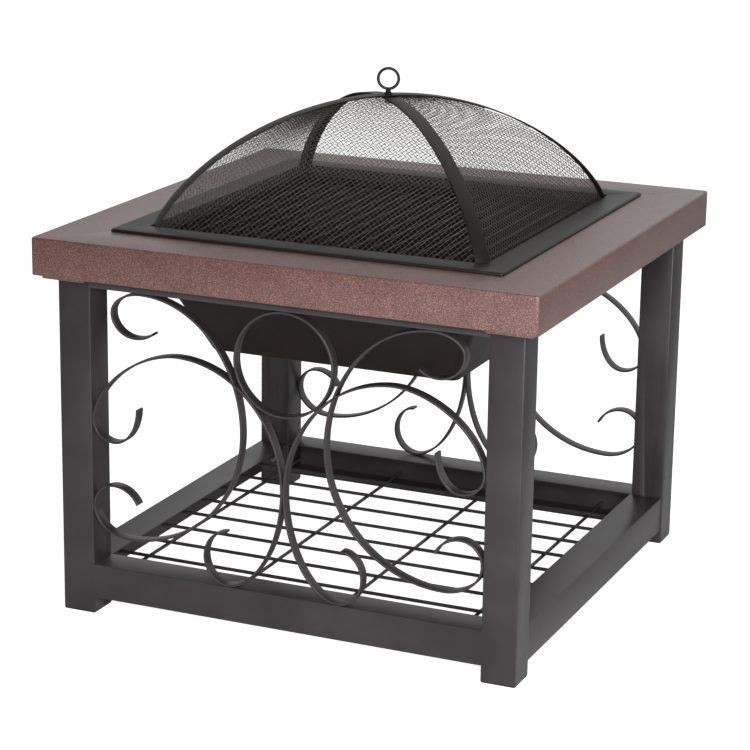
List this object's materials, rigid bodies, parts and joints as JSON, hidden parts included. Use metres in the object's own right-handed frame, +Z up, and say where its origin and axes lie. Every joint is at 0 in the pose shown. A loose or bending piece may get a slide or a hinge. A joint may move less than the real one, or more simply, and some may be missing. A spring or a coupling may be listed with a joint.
{
  "type": "fire pit table",
  "caption": "Square steel fire pit table with scrollwork sides, wire storage rack, drop-in fire bowl, cooking grate and a lift-off domed mesh spark screen.",
  "frame": {"origin": "on the ground, below the centre of the table", "axes": "+X along the front to the right as seen from the front, front scroll panel faces -Y, +Z up"},
  "size_m": [0.7112, 0.7112, 0.7258],
  "materials": {
    "frame": "dark brown-black powder coat with a satin sheen",
    "bronze": "hammered bronze enamel",
    "plug": "moulded black",
    "bowl": "matt high-heat black enamel",
    "grate": "matt black heat-resistant coat",
    "mesh": "black wire mesh, drawn here as a thin sheet",
    "zinc": "zinc-plated fastener"
  },
  "bodies": {
    "table": {"bottom_rail_back": "frame", "bottom_rail_front": "frame", "c_scroll_back_left": "frame", "c_scroll_back_right": "frame", "c_scroll_front_left": "frame", "c_scroll_front_right": "frame", "centre_ring_back": "frame", "centre_ring_front": "frame", "corner_bracket_back_left": "bronze", "corner_bracket_back_right": "bronze", "corner_bracket_front_left": "bronze", "corner_bracket_front_right": "bronze", "foot_plug_back_left": "plug", "foot_plug_back_right": "plug", "foot_plug_front_left": "plug", "foot_plug_front_right": "plug", "leg_back_left": "frame", "leg_back_right": "frame", "leg_front_left": "frame", "leg_front_right": "frame", "rail_bolt_back_left": "zinc", "rail_bolt_back_right": "zinc", "rail_bolt_front_left": "zinc", "rail_bolt_front_right": "zinc", "shelf_rack": "frame", "shoulder_scroll_back_left": "frame", "shoulder_scroll_back_right": "frame", "shoulder_scroll_front_left": "frame", "shoulder_scroll_front_right": "frame", "side_rail_left": "frame", "side_rail_right": "frame", "table_bolt_back_left": "zinc", "table_bolt_back_right": "zinc", "table_bolt_front_left": "zinc", "table_bolt_front_right": "zinc", "table_top": "bronze", "top_rail_back": "frame", "top_rail_front": "frame", "wave_scroll_back_left": "frame", "wave_scroll_back_right": "frame", "wave_scroll_front_left": "frame", "wave_scroll_front_right": "frame"},
    "bowl": {"fire_bowl": "bowl"},
    "fuel_grate": {"fuel_grate": "grate"},
    "cooking_grate": {"cooking_grate": "grate"},
    "spark_screen": {"lift_ring": "frame", "ring_nut": "zinc", "ring_washer": "frame", "screen_hoop": "frame", "screen_mesh_back": "mesh", "screen_mesh_front": "mesh", "screen_mesh_left": "mesh", "screen_mesh_right": "mesh", "screen_strap_lower": "frame", "screen_strap_upper": "frame"}
  },
  "joints": [
    {"name": "bowl_lift", "type": "slide", "parent": "table", "child": "bowl", "axis": [0, 0, 1], "range_m": [0, 0.25]},
    {"name": "fuel_grate_lift", "type": "slide", "parent": "bowl", "child": "fuel_grate", "axis": [0, 0, 1], "range_m": [0, 0.22]},
    {"name": "cooking_grate_lift", "type": "slide", "parent": "fuel_grate", "child": "cooking_grate", "axis": [0, 0, 1], "range_m": [0, 0.2]},
    {"name": "screen_lift", "type": "slide", "parent": "cooking_grate", "child": "spark_screen", "axis": [0, 0, 1], "range_m": [0, 0.3]}
  ]
}
